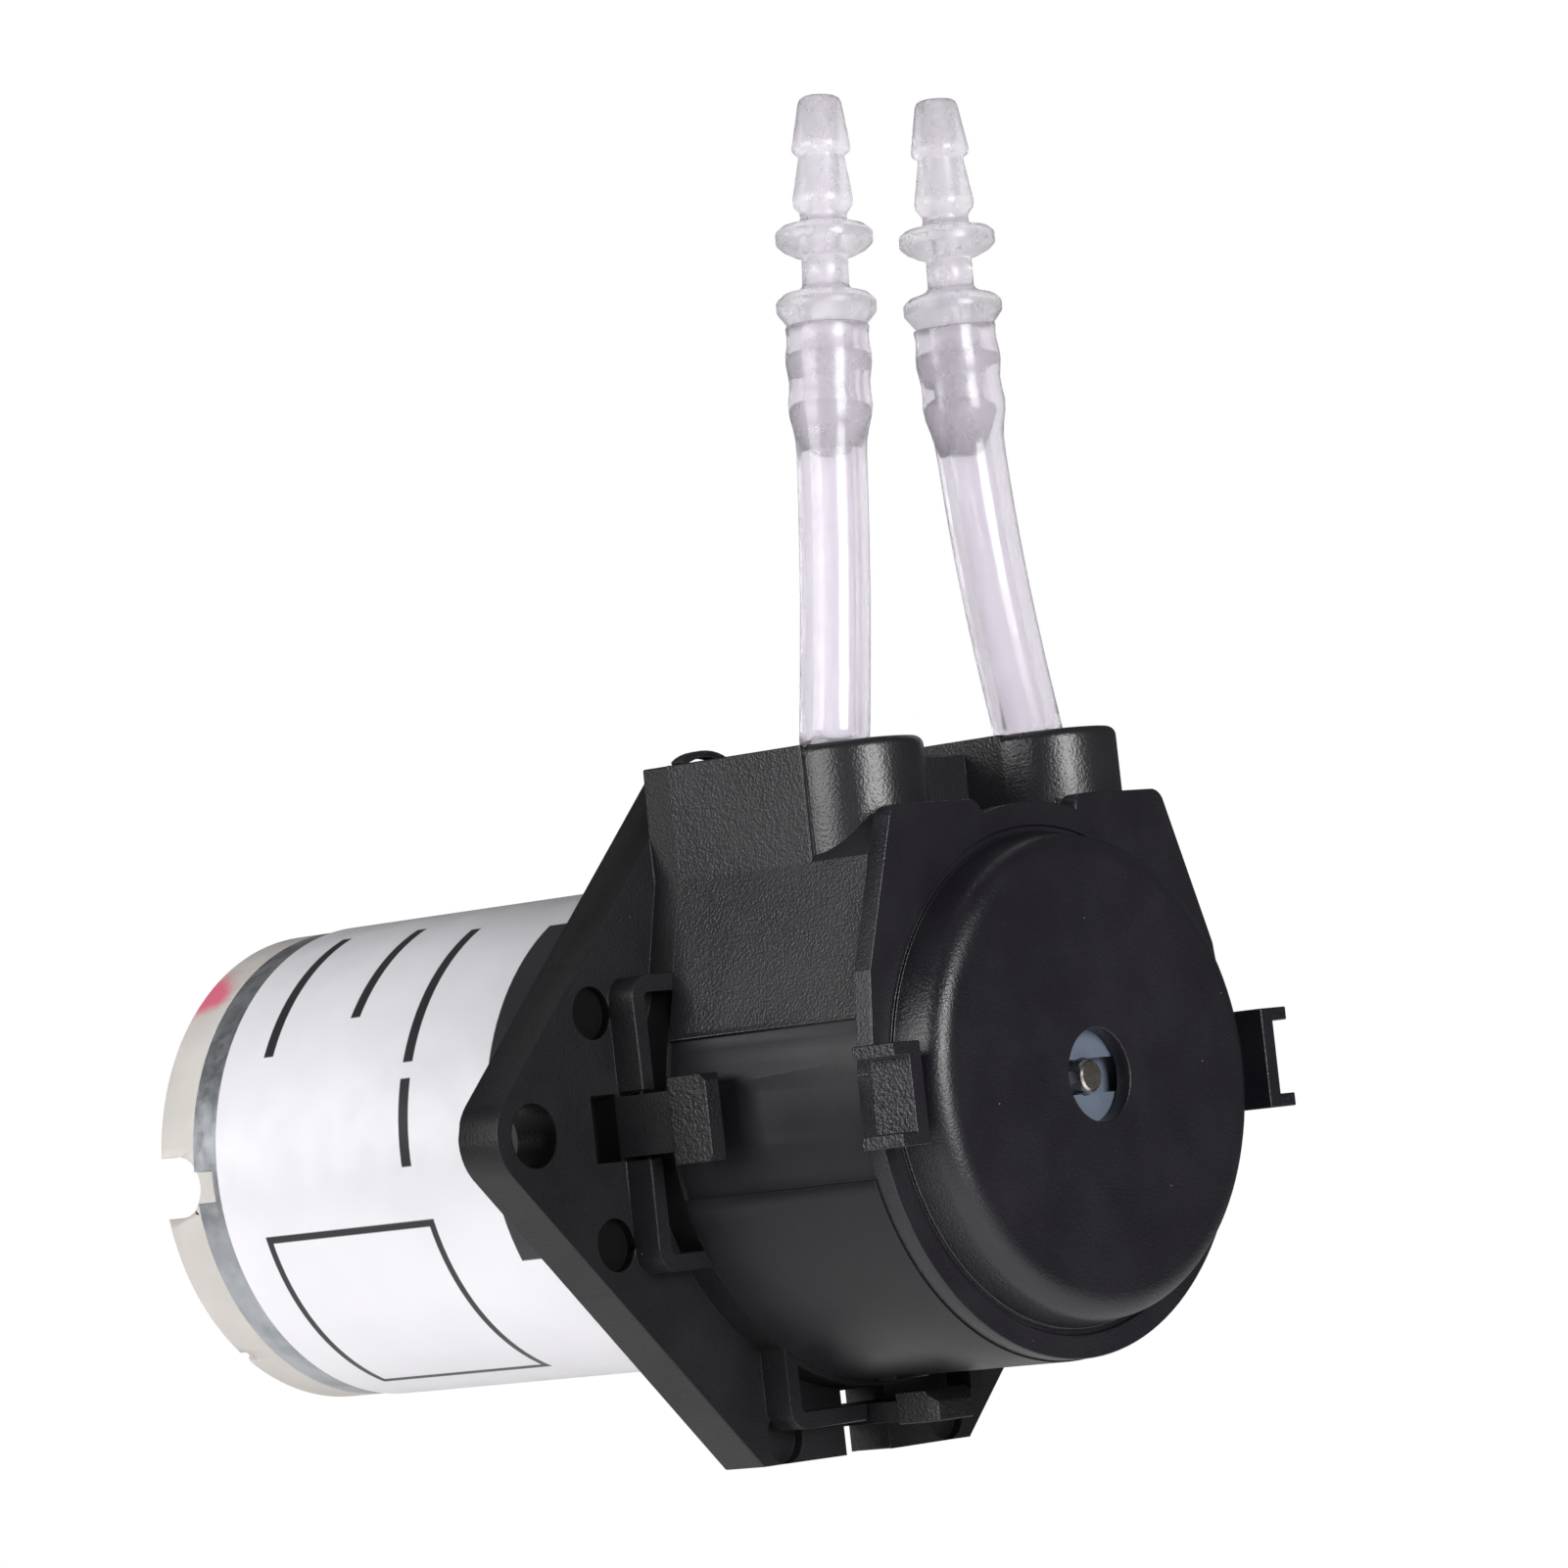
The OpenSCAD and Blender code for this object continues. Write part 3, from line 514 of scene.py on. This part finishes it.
paint(metal("lamination_steel", (0.20, 0.21, 0.22), (0.34, 0.35, 0.37), 0.42, stretch=(1, 9, 1)),
      "armature_core")
paint(metal("enamelled_copper", (0.42, 0.15, 0.05), (0.70, 0.30, 0.12), 0.3, stretch=(5, 1, 5), metallic=0.85),
      "windings")
paint(metal("commutator_copper", (0.55, 0.26, 0.12), (0.82, 0.46, 0.27), 0.3, stretch=(1, 6, 1)),
      "commutator")
paint(can_material(), "motor_can")
paint(label_material(), "motor_label")
paint(metal("ferrite", (0.05, 0.05, 0.05), (0.10, 0.10, 0.10), 0.6, metallic=0.2), "field_magnets")
paint(metal("sintered_bronze", (0.36, 0.25, 0.13), (0.56, 0.42, 0.24), 0.4), "front_bush", "rear_bush")
paint(cap_material(), "end_cap")
paint(metal("carbon", (0.03, 0.03, 0.03), (0.07, 0.07, 0.07), 0.55, metallic=0.1), "carbon_brushes")
paint(metal("contact_brass", (0.62, 0.45, 0.18), (0.84, 0.66, 0.34), 0.28), "brush_arms", "terminals")

soften("mounting_plate", 0.13)
soften("pump_housing", 0.12)
soften("front_cover", 0.14, "WIDTH")
soften("end_cap", 0.12)


# ------------------------------------------------------------------ floor, lights and surroundings

def make_floor():
    bpy.ops.mesh.primitive_plane_add(size=2.4, location=(0, 0, cad_box[0][2] - 0.3))
    floor = bpy.context.object
    floor.name = "floor"
    s = Shader("floor_card", Specular_IOR_Level=0.2,
               Emission_Color=(1.0, 0.99, 0.985), Emission_Strength=0.38)
    s.to("Base Color", s.colour(s.noise(0.4, 3), (0.3, (0.86, 0.855, 0.85)), (0.7, (0.88, 0.875, 0.87))))
    s.to("Roughness", s.ramp(s.noise(0.05, 3), 0.3, 0.7, 0.7, 0.8))
    floor.data.materials.append(s.material)


def make_light(name, place, power, width, height):
    data = bpy.data.lights.new(name, "AREA")
    data.shape = "RECTANGLE"
    data.size, data.size_y = width, height
    data.energy = power
    light = bpy.data.objects.new(name, data)
    light.location = place
    aim = Vector((0, 0, 0.01)) - Vector(place)
    light.rotation_euler = aim.to_track_quat("-Z", "Y").to_euler()
    bpy.context.scene.collection.objects.link(light)


def make_surroundings():
    """White where the camera or a clear piece looks, and a dimmer studio for what lights the object."""
    world = bpy.data.worlds.new("studio")
    world.use_nodes = True
    tree = world.node_tree
    background = tree.nodes["Background"]
    path = tree.nodes.new("ShaderNodeLightPath")
    seen = tree.nodes.new("ShaderNodeMath")
    seen.operation = "MAXIMUM"
    tree.links.new(path.outputs["Is Camera Ray"], seen.inputs[0])
    tree.links.new(path.outputs["Is Transmission Ray"], seen.inputs[1])
    strength = tree.nodes.new("ShaderNodeMapRange")
    strength.inputs["To Min"].default_value = 0.065
    strength.inputs["To Max"].default_value = 1.0
    tree.links.new(seen.outputs[0], strength.inputs["Value"])
    tree.links.new(strength.outputs["Result"], background.inputs["Strength"])
    background.inputs["Color"].default_value = (1, 1, 1, 1)
    bpy.context.scene.world = world


make_floor()
make_light("front_softbox", (-0.17, -0.60, 0.12), 4.3, 0.28, 0.32)
make_light("left_softbox", (-0.68, 0.16, 0.18), 4.0, 0.50, 0.36)
make_light("top_softbox", (0.05, 0.30, 0.70), 0.25, 0.40, 0.40)
make_surroundings()
bpy.context.scene.view_settings.view_transform = "Standard"
